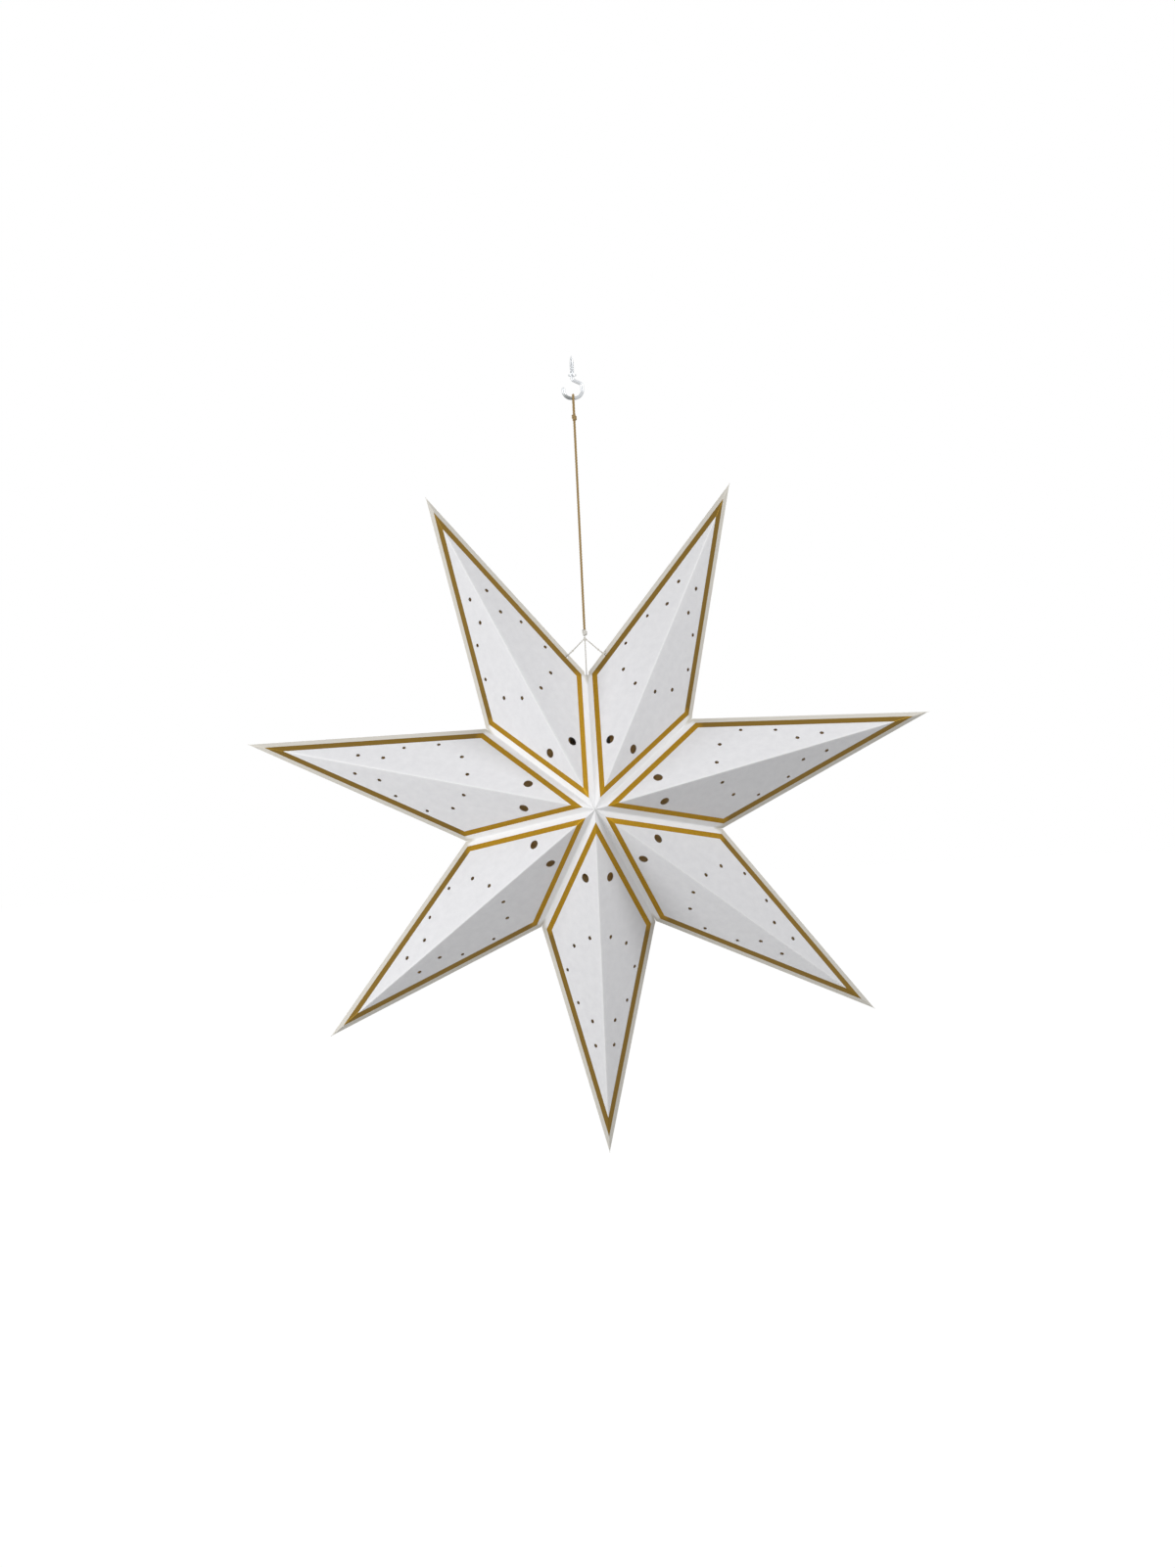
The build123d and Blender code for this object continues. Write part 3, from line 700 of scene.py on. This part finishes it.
def cut_panel(back, at_seam):
    """Flat points, triangles, which triangles are foil, and the triangle of the panel's outline."""
    gap_corner = whole_panel[0] + inward(whole_panel)[2] * BACK_APEX_GAP * back
    slope = (whole_panel[2] - gap_corner) / (whole_panel[2] - gap_corner)[1]
    triangle = np.array([gap_corner - slope * gap_corner[1], whole_panel[1], whole_panel[2]])
    band = [inset(whole_panel, FOIL_MARGINS + part * FOIL_WIDTHS) for part in (0, 1)]
    holes = [] if back else list(zip(hole_spots, LIGHT_HOLES[:, 2]))
    if at_seam:
        edge = unit(triangle[1] - triangle[2])
        along = TIE_OFFSET / abs(first_tip - top_corner)[0] * outline_length
        holes.append((triangle[2] + edge * along + inward(triangle)[1] * TIE_RING / MM, TIE_HOLE))
        holes.append((triangle[2], 2 * SEAM_NOTCH))
    loops = [spaced_loop(inset(triangle, FOLD_ROUND * row)) for row in FOLD_ROWS]
    loops += [round_hole(spot, diameter) for spot, diameter in holes]
    foil_sides = [(ring[a], ring[b]) for ring in band for a, b in ((1, 2), (0, 2))]
    lines = [np.vstack([spaced_line(start, end), end]) for start, end in foil_sides]
    columns, rows = np.arange(0, ridge_length, GRID_STEP), np.arange(0, corner_up, GRID_RISE)
    grid = np.stack(np.meshgrid(columns, rows), -1).reshape(-1, 2)
    grid = grid[side_distances(grid, triangle).min(1) > GRID_MARGIN]
    groups = loops + lines
    starts = np.cumsum([0] + [len(group) for group in groups])
    pairs = []
    for number, (group, start) in enumerate(zip(groups, starts)):
        around = np.arange(len(group))
        links = np.stack([around, np.roll(around, -1)], 1) + start
        pairs.append(links if number < len(loops) else links[:-1])
    points = np.vstack(groups + [grid])
    found = delaunay_2d_cdt(points.tolist(), np.concatenate(pairs).tolist(), [], 0, SAME_POINT)
    flat, triangles = np.array(found[0]), np.array(found[2])
    a, b, c = (flat[triangles[:, i]] for i in range(3))
    turned = (b - a)[:, 0] * (c - a)[:, 1] - (b - a)[:, 1] * (c - a)[:, 0]
    triangles = np.where((turned < 0)[:, None], triangles[:, ::-1], triangles)[np.abs(turned) > SLIVER]
    middles = flat[triangles].mean(1)
    kept = side_distances(middles, triangle).min(1) > 0
    for spot, diameter in holes:
        kept &= np.linalg.norm(middles - spot, axis=1) > diameter / 2 * math.cos(math.pi / HOLE_SIDES)
    triangles, middles = triangles[kept], middles[kept]
    into_foil = (side_distances(middles, whole_panel) - FOIL_MARGINS)[:, 1:]
    foil = (into_foil > 0).all(1) & (into_foil < FOIL_WIDTHS[1:]).any(1)
    used, renumbered = np.unique(triangles, return_inverse=True)
    return flat[used], renumbered.reshape(-1, 3), foil, triangle


cuts = {(back, seam): cut_panel(back, seam) for back in (False, True) for seam in (False, True)}
print("faces in a cut:", {key: len(cut[1]) for key, cut in cuts.items()})

# %% [markdown]
# Each flat cut is then folded into its place. The outer face rounds over at every crease, as scored card
# does, and neighbours meet exactly on the crease line, which is also the hinge, so no gap opens when the
# star folds. The inner face is the same sheet one card thickness deeper, with its borders drawn in
# where the crease is mitred. A panel also bows by about half a millimetre, because card is never quite flat.

# %% Fold the panels into the star
# Height of a panel's bow, and how it varies from one panel to the next
BOW, BOW_STEP = 0.6, 2.4
# The bow is the product of the three corner weights, which is 1 / 27 at the panel's middle
BOW_PEAK = 27
# Widths beside a crease in which the inner face draws in and the coating is polished
MITRE_WIDTH = 6.0
POLISH_WIDTH = 1.2
# Difference of distances over which the outline foil's painted shade gives way to the valley's bright foil
RIM_SHADE_FADE = 2.0
# Slack that takes the foil's own border points into the margin beside it
MARGIN_SLACK = 0.1
# Shift of the UVs from one panel to the next, in metres
PATTERN_STEP = np.array([0.41, 0.13])


def facet_axes(side, tip_turn, corner_turn):
    """Apex of a facet, with unit vectors along its ridge, across it and out of it."""
    apex = centre + np.array([0, side * half_depth, 0])
    ridge = unit(star_point(tip_radius, tip_turn) - apex)
    across = star_point(corner_radius, corner_turn) - apex
    across = unit(across - ridge * (across @ ridge))
    out = np.cross(ridge, across)
    return apex, ridge, across, out * np.sign(out[1] * side)


own = facet_axes(-1, HALF_SECTOR, 0)[3]
neighbours = [
    facet_axes(-1, HALF_SECTOR, 2 * HALF_SECTOR)[3],
    facet_axes(1, HALF_SECTOR, 0)[3],
    facet_axes(-1, -HALF_SECTOR, 0)[3],
]
crease_turns = [math.acos(own @ other) for other in neighbours]


def rounded_fold(flat, triangle):
    """In-plane shift and height of the outer face where it rolls over the three creases.

    Within the rounding width w of a crease the sheet follows an arc: with f going from half the crease's
    turn on the line to zero at w, it lies at w - r sin(f) and drops by r (1 - cos(f)), r = w / tan(turn / 2).
    A valley rises instead.
    """
    distances = side_distances(flat, triangle)
    shift, height = np.zeros_like(flat), np.zeros(len(flat))
    for k, (turn, rises) in enumerate(zip(crease_turns, (-1, -1, 1))):
        radius = FOLD_ROUND / math.tan(turn / 2)
        near = np.clip(1 - distances[:, k] / FOLD_ROUND, 0, 1)
        moved = np.where(near > 0, FOLD_ROUND - radius * np.sin(near * turn / 2) - distances[:, k], 0)
        shift += moved[:, None] * inward(triangle)[k]
        height += rises * radius * (1 - np.cos(near * turn / 2))
    return shift, height


def folded_sheet(cut, axes, bow):
    """Outer and inner face of a panel with the walls between: its shape, its faces' finishes, its marks."""
    flat, triangles, foil, triangle = cut
    apex, ridge, across, out = axes
    distances = side_distances(flat, triangle)
    weights = distances / np.array([side_distances(triangle, triangle)[(k + 2) % 3, k] for k in range(3)])
    crown = bow * BOW_PEAK * np.clip(weights, 0, 1).prod(1)
    shift, height = rounded_fold(flat, triangle)
    mitred = inset(triangle, np.array([CARD / math.tan(RIDGE_BEVEL), CARD / math.tan(OUTLINE_BEVEL), 0]))
    drawn_in = weights[:, [1, 2, 0]] @ mitred
    near_edge = np.clip(1 - distances.min(1) / MITRE_WIDTH, 0, 1)[:, None]
    outer = np.column_stack([flat + shift, height + crown])
    inner = np.column_stack([flat + near_edge * (drawn_in - flat), crown - CARD])
    points = apex + np.vstack([outer, inner]) * MM @ np.stack([ridge, across, out])
    edges = triangles[:, [0, 1, 1, 2, 2, 0]].reshape(-1, 2)
    ordered = np.sort(edges, 1)
    _, inverse, counts = np.unique(ordered, axis=0, return_inverse=True, return_counts=True)
    rim = edges[counts[inverse.ravel()] == 1]
    count = len(flat)
    walls = np.vstack(
        [
            np.stack([rim[:, 1], rim[:, 0], rim[:, 0] + count], 1),
            np.stack([rim[:, 1], rim[:, 0] + count, rim[:, 1] + count], 1),
        ]
    )
    faces = np.vstack([triangles, triangles[:, ::-1] + count, walls])
    finish = np.concatenate([np.where(foil, 1, 0), np.full(len(triangles), 2), np.zeros(len(walls), int)])
    if np.cross(ridge, across) @ out < 0:
        faces = faces[:, ::-1]
    uv = np.vstack([flat, flat])[faces.ravel()] * MM
    margins = side_distances(flat, whole_panel) < FOIL_MARGINS + MARGIN_SLACK
    marks = {
        "fold": np.exp(-distances.min(1) / POLISH_WIDTH),
        # Share of painted shade on the foil: full at the outline, none at the valley
        "rim": np.clip(0.5 + (distances[:, 2] - distances[:, 1]) / RIM_SHADE_FADE, 0, 1),
        # Painted highlight on the bare card beside the valleys
        "valley_margin_painted_light": margins[:, 2],
        # Painted shade on the bare card beside the outline
        "outline_margin_painted_shade": margins[:, 1],
    }
    return (points, faces.tolist(), uv), finish, {name: np.tile(values, 2) for name, values in marks.items()}


panel_number = 0
for arm in range(1, ARMS + 1):
    for side_name, side in (("front", -1), ("back", 1)):
        for hand, corner_turn, at_seam in (
            ("left", 2 * (arm - 1) * HALF_SECTOR, arm == 1),
            ("right", 2 * arm * HALF_SECTOR, arm == ARMS),
        ):
            node = f"arm_{arm}_{side_name}_{hand}"
            axes = facet_axes(side, (2 * arm - 1) * HALF_SECTOR, corner_turn)
            bow = BOW * math.sin(BOW_STEP * panel_number)
            shape, finish, marks = folded_sheet(cuts[side > 0, at_seam], axes, bow)
            shape[2][:] += panel_number * PATTERN_STEP
            panel = make_piece(
                "card_" + node,
                shape,
                [card_finish, foil_finish, inside_finish],
                frame["nodes"][node]["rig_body"],
                [node],
                finish,
                sharp=30,
            )
            for name, values in marks.items():
                layer = panel.data.attributes.new(name, "FLOAT", "POINT")
                layer.data.foreach_set("value", values.astype(np.float32))
            panel_number += 1
print(f"{panel_number} panels, creases turn by {[round(math.degrees(t), 1) for t in crease_turns]} degrees")

# %% [markdown]
# The hook is bent from steel wire and zinc plated, with a screw thread rolled on its shank. The solid
# keeps its shape. The thread is a ridge that climbs round the shank, added as a small surface of its own:
# one parameter goes round the helix, the other across the ridge.

# %% The ceiling hook
# Painted shade darkens the wire where it lies furthest in this direction, between these two distances
PAINTED_SHADE_TOWARDS = (-0.5, 0, -0.87)
PAINTED_SHADE_FROM, PAINTED_SHADE_FULL = 16.9 * MM, 18.1 * MM
# Zinc-plated steel wire: pale metal with fine clouds, with painted shade that turns it grey from the bar
# towards the open end
zinc_finish, tree, shader = new_finish("steel_wire_zinc_plated")
place = add(tree, "TexCoord")
clouds = add(tree, "TexNoise", {"Vector": place.outputs["Object"], "Scale": per(1.5), "Detail": 4})
tone = blend(tree, clouds.outputs["Fac"], colour("#B4B7BA"), colour("#DADCDE"))
reach = add(tree, "VectorMath", {0: place.outputs["Object"], 1: PAINTED_SHADE_TOWARDS}, operation="DOT_PRODUCT")
# Painted shade: grey mixed in where the wire lies furthest down and to the left
painted_shade = add(
    tree,
    "MapRange",
    {"Value": reach.outputs["Value"], "From Min": PAINTED_SHADE_FROM, "From Max": PAINTED_SHADE_FULL},
)
painted_shade_tone = blend(tree, painted_shade.outputs["Result"], tone, colour("#8A8C8B"))
gloss = add(tree, "MapRange", {"Value": clouds.outputs["Fac"], "To Min": 0.28, "To Max": 0.48})
add(
    tree,
    shader,
    {"Base Color": painted_shade_tone, "Metallic": 1.0, "Roughness": gloss.outputs["Result"]},
)


def dress(finish, *nodes):
    """Give CAD solids a finish."""
    for node in nodes:
        mesh = frame["nodes"][node].data
        mesh.materials.clear()
        mesh.materials.append(finish)


dress(zinc_finish, "ceiling_hook")
SHANK_RADIUS = 1.5 * MM
SHANK_LENGTH = 12.0 * MM
SCREW_PITCH = 1.25 * MM
SCREW_DEPTH = 0.35 * MM
SCREW_TURNS = (SHANK_LENGTH - 2 * SCREW_PITCH) / SCREW_PITCH
SCREW_STEPS = 260
# Share of the ridge's depth that is left at its two ends
SCREW_END = 0.02
# Section of the ridge: heights out of the shank in screw depths, and along it in pitches
RIDGE_OUT = np.array([-0.1, 0.9, 0.9, -0.1])
RIDGE_RISE = np.array([-0.42, -0.08, 0.08, 0.42])


def screw_ridge():
    """Ridge on the shank: at angle a its height is pitch * a / 2 pi, and its section is a blunt triangle."""
    turn = np.linspace(0, 2 * math.pi * SCREW_TURNS, SCREW_STEPS)[:, None]
    taper = np.clip(np.minimum(turn, turn[-1] - turn) / math.pi, SCREW_END, 1)
    out = RIDGE_OUT * SCREW_DEPTH * taper
    rise = RIDGE_RISE * SCREW_PITCH
    radius = SHANK_RADIUS + out
    level = SCREW_PITCH * (1 + turn / (2 * math.pi)) + rise
    points = np.stack([radius * np.cos(turn), radius * np.sin(turn), level], -1)
    rows, columns = np.meshgrid(np.arange(len(turn) - 1) * 4, np.arange(4), indexing="ij")
    after = (columns + 1) % 4
    walls = np.stack([rows + columns, rows + 4 + columns, rows + 4 + after, rows + after], -1)
    end = (len(turn) - 1) * 4
    faces = walls.reshape(-1, 4).tolist() + [[0, 1, 2, 3], [end + 3, end + 2, end + 1, end]]
    return points.reshape(-1, 3), faces, np.zeros((4 * len(faces), 2))


make_piece("hook_screw_thread", screw_ridge(), [zinc_finish], "ceiling_hook", sharp=20)
print("hook has", round(SCREW_TURNS, 1), "turns of thread")

# %% [markdown]
# The lamp inside is moulded plastic: a white battery case with a sliding cover, a black switch, and a
# frosted dome over four diodes on a small board. It shows only when the star is folded open, or through
# the holes, so its solids keep their shape and get true finishes.

# %% Finishes of the lamp


def moulded_finish(name, dark, light, texture_size, roughness, depth):
    """Moulded plastic: a nearly even colour over the fine sparked texture of the mould."""
    material, tree, shader = new_finish(name)
    place = add(tree, "TexCoord")
    grain = add(
        tree, "TexNoise", {"Vector": place.outputs["Object"], "Scale": per(texture_size), "Detail": 2}
    )
    tone = blend(tree, grain.outputs["Fac"], colour(dark), colour(light))
    bump = add(tree, "Bump", {"Height": grain.outputs["Fac"], "Strength": 0.3, "Distance": depth * MM})
    add(
        tree,
        shader,
        {"Base Color": tone, "Roughness": roughness, "Normal": bump.outputs["Normal"]},
    )
    return material, shader


# ABS, moulded in a sparked mould: even white with a fine matt grain
case_finish, _ = moulded_finish("abs_moulded_white", "#E4E3DD", "#EEEDE8", 0.5, 0.5, 0.03)
# Acetal, moulded smooth: black with a soft shine
switch_finish, _ = moulded_finish("acetal_moulded_black", "#141516", "#202123", 0.4, 0.32, 0.01)
# Glass-fibre board with white solder mask: smooth and slightly glossy
board_finish, _ = moulded_finish("solder_mask_white", "#E2E7DF", "#EDF1EA", 1.2, 0.35, 0.01)
# Shrunk PVC sleeve on a cell: grey-blue, glossy
sleeve_finish, _ = moulded_finish("pvc_sleeve_shrunk", "#3A434D", "#46505B", 3.0, 0.28, 0.02)
# Nickel-plated sheet: a warm bright metal
nickel_finish, shader = moulded_finish("nickel_plated_sheet", "#B3AFA8", "#CFCBC3", 1.0, 0.3, 0.01)
shader.inputs["Metallic"].default_value = 1.0
# Epoxy lens of a warm-white diode: clear with a yellow tint
lens_finish, shader = moulded_finish("epoxy_lens_cast", "#E8D28C", "#F2E0A4", 2.0, 0.12, 0.005)
shader.inputs["Transmission Weight"].default_value = 0.7
shader.inputs["IOR"].default_value = 1.53
# Frosted polypropylene: milky, lets light through without showing what is behind
dome_finish, shader = moulded_finish("polypropylene_frosted", "#EFEEE8", "#F7F6F2", 0.6, 0.55, 0.03)
shader.inputs["Transmission Weight"].default_value = 0.45
shader.inputs["IOR"].default_value = 1.49

dress(case_finish, "battery_case", "battery_cover", "lamp_collar")
dress(switch_finish, "slide_switch")
dress(board_finish, "led_board")
dress(nickel_finish, "contact_plate_bridge", "contact_plates_terminal", "board_screws")
dress(nickel_finish, "battery_cell_1", "battery_cell_2")
dress(lens_finish, "leds")
dress(dome_finish, "diffuser_dome")
print("lamp finishes are on")

# %% [markdown]
# A battery cell is a metal can in a printed plastic sleeve that is shrunk over its ends. The solid is
# the can. The sleeve is a surface of revolution round it, a profile of radius and height turned round
# the cell's axis, left plain because these cells carry no print.

# %% Sleeves on the battery cells
SLEEVE = 0.12 * MM
SLEEVE_SIDES = 48
# Profile: which end of the can a point is at, its distance from that end, and its share of the can's radius
AT_TOP = np.array([0, 0, 0, 1, 1, 1, 1, 0])
FROM_END = np.array([-0.1, 0.15, 0.9, -0.9, -0.15, 0.1, -0.5, 0.5]) * MM
RADIUS_SHARE = np.array([0.72, 0.93, 1.0, 1.0, 0.93, 0.72, 0.7, 0.7])


def sleeve(low, high):
    """Revolved closed profile: straight along the can, curled in over both rims and back inside the can."""
    middle, radius = (low + high) / 2, (high - low)[0] / 2
    level = np.where(AT_TOP, high[2], low[2]) + FROM_END
    ring = RADIUS_SHARE * radius + SLEEVE
    turn = np.linspace(0, 2 * math.pi, SLEEVE_SIDES, endpoint=False)[:, None]
    across, along = middle[0] + ring * np.cos(turn), middle[1] + ring * np.sin(turn)
    points = np.stack([across, along, level + 0 * turn], -1)
    count = len(RADIUS_SHARE)
    rows, columns = np.meshgrid(np.arange(SLEEVE_SIDES), np.arange(count), indexing="ij")
    after, above = (rows + 1) % SLEEVE_SIDES * count, (columns + 1) % count
    rows = rows * count
    faces = np.stack([rows + columns, after + columns, after + above, rows + above], -1)
    return points.reshape(-1, 3), faces.reshape(-1, 4).tolist(), np.zeros((faces.size, 2))


for number in (1, 2):
    low, high = (np.array(corner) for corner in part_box(f"battery_cell_{number}"))
    shape = sleeve(low, high)
    make_piece(f"cell_sleeve_{number}", shape, [sleeve_finish], "star_seam_panel", sharp=30)
print("two sleeves")

# %% [markdown]
# The photograph has a plain white ground, and each arm has one brighter and one darker half. That is the
# light of a studio with two softboxes, one low at the left and one high at the right, between pale walls.
# Their places and powers were found by comparing the tone of all fourteen front panels. A third softbox
# lights the back. The world is the pale walls, and the floor looks white to the camera and to reflections
# while it still takes the star's shadow.

# %% Floor and light
FLOOR_LEVEL = -1.3
FLOOR_HALF = 12.0
# The floor is this much plain white where it is looked at, of this strength
WHITE_SHARE = 0.93
WHITE_STRENGTH = 1.06

floor_mesh = bpy.data.meshes.new("floor")
floor_sides = [(-1, -1), (1, -1), (1, 1), (-1, 1)]
floor_corners = [(x * FLOOR_HALF, y * FLOOR_HALF, FLOOR_LEVEL) for x, y in floor_sides]
floor_mesh.from_pydata(floor_corners, [], [(0, 1, 2, 3)])
floor = bpy.data.objects.new("floor", floor_mesh)
scene.collection.objects.link(floor)


def seen_directly(tree):
    """Socket that is 1 for rays from the camera, from a reflection and through a clear piece."""
    rays = add(tree, "LightPath").outputs
    mirrored = add(tree, "Math", {0: rays["Is Camera Ray"], 1: rays["Is Glossy Ray"]}, operation="MAXIMUM")
    shown = add(tree, "Math", {0: mirrored.outputs[0], 1: rays["Is Transmission Ray"]}, operation="MAXIMUM")
    return shown.outputs[0]


# Painted floor: pale and matt, mostly plain white where it is looked at
floor_finish, tree, shader = new_finish("floor_paint_white")
add(tree, shader, {"Base Color": colour("#E9E9E8"), "Roughness": 0.9})
white = add(tree, "Emission", {"Color": (1, 1, 1, 1), "Strength": WHITE_STRENGTH})
share = add(tree, "Math", {0: seen_directly(tree), 1: WHITE_SHARE}, operation="MULTIPLY")
both = add(tree, "MixShader", {0: share.outputs[0], 1: shader.outputs[0], 2: white.outputs[0]})
add(tree, tree.nodes["Material Output"], {"Surface": both.outputs[0]})
floor_mesh.materials.append(floor_finish)

AMBIENT = 0.33
world = bpy.data.worlds.new("studio")
world.use_nodes = True
scene.world = world
tree = world.node_tree
walls = add(tree, "Background", {"Color": (1, 1, 1, 1), "Strength": AMBIENT})
backdrop = add(tree, "Background", {"Color": (1, 1, 1, 1), "Strength": 1.0})
both = add(tree, "MixShader", {0: seen_directly(tree), 1: walls.outputs[0], 2: backdrop.outputs[0]})
add(tree, tree.nodes["World Output"], {"Surface": both.outputs[0]})

LAMP_SIZE = 0.5
# Place seen from the star's middle, in metres, and power in watts
LAMPS = {
    "softbox_left": ((-1.06, -0.69, 0.16), 8.1),
    "softbox_right": ((0.87, -0.68, 0.83), 7.8),
    "softbox_behind": ((0.0, 1.4, 0.6), 9.0),
}
for name, (place, power) in LAMPS.items():
    lamp_data = bpy.data.lights.new(name, "AREA")
    lamp_data.energy = power
    lamp_data.size = LAMP_SIZE
    lamp = bpy.data.objects.new(name, lamp_data)
    lamp.location = Vector(centre) + Vector(place)
    lamp.rotation_euler = (-Vector(place)).to_track_quat("-Z", "Y").to_euler()
    scene.collection.objects.link(lamp)
print(f"floor at {FLOOR_LEVEL} m, {len(LAMPS)} lamps")
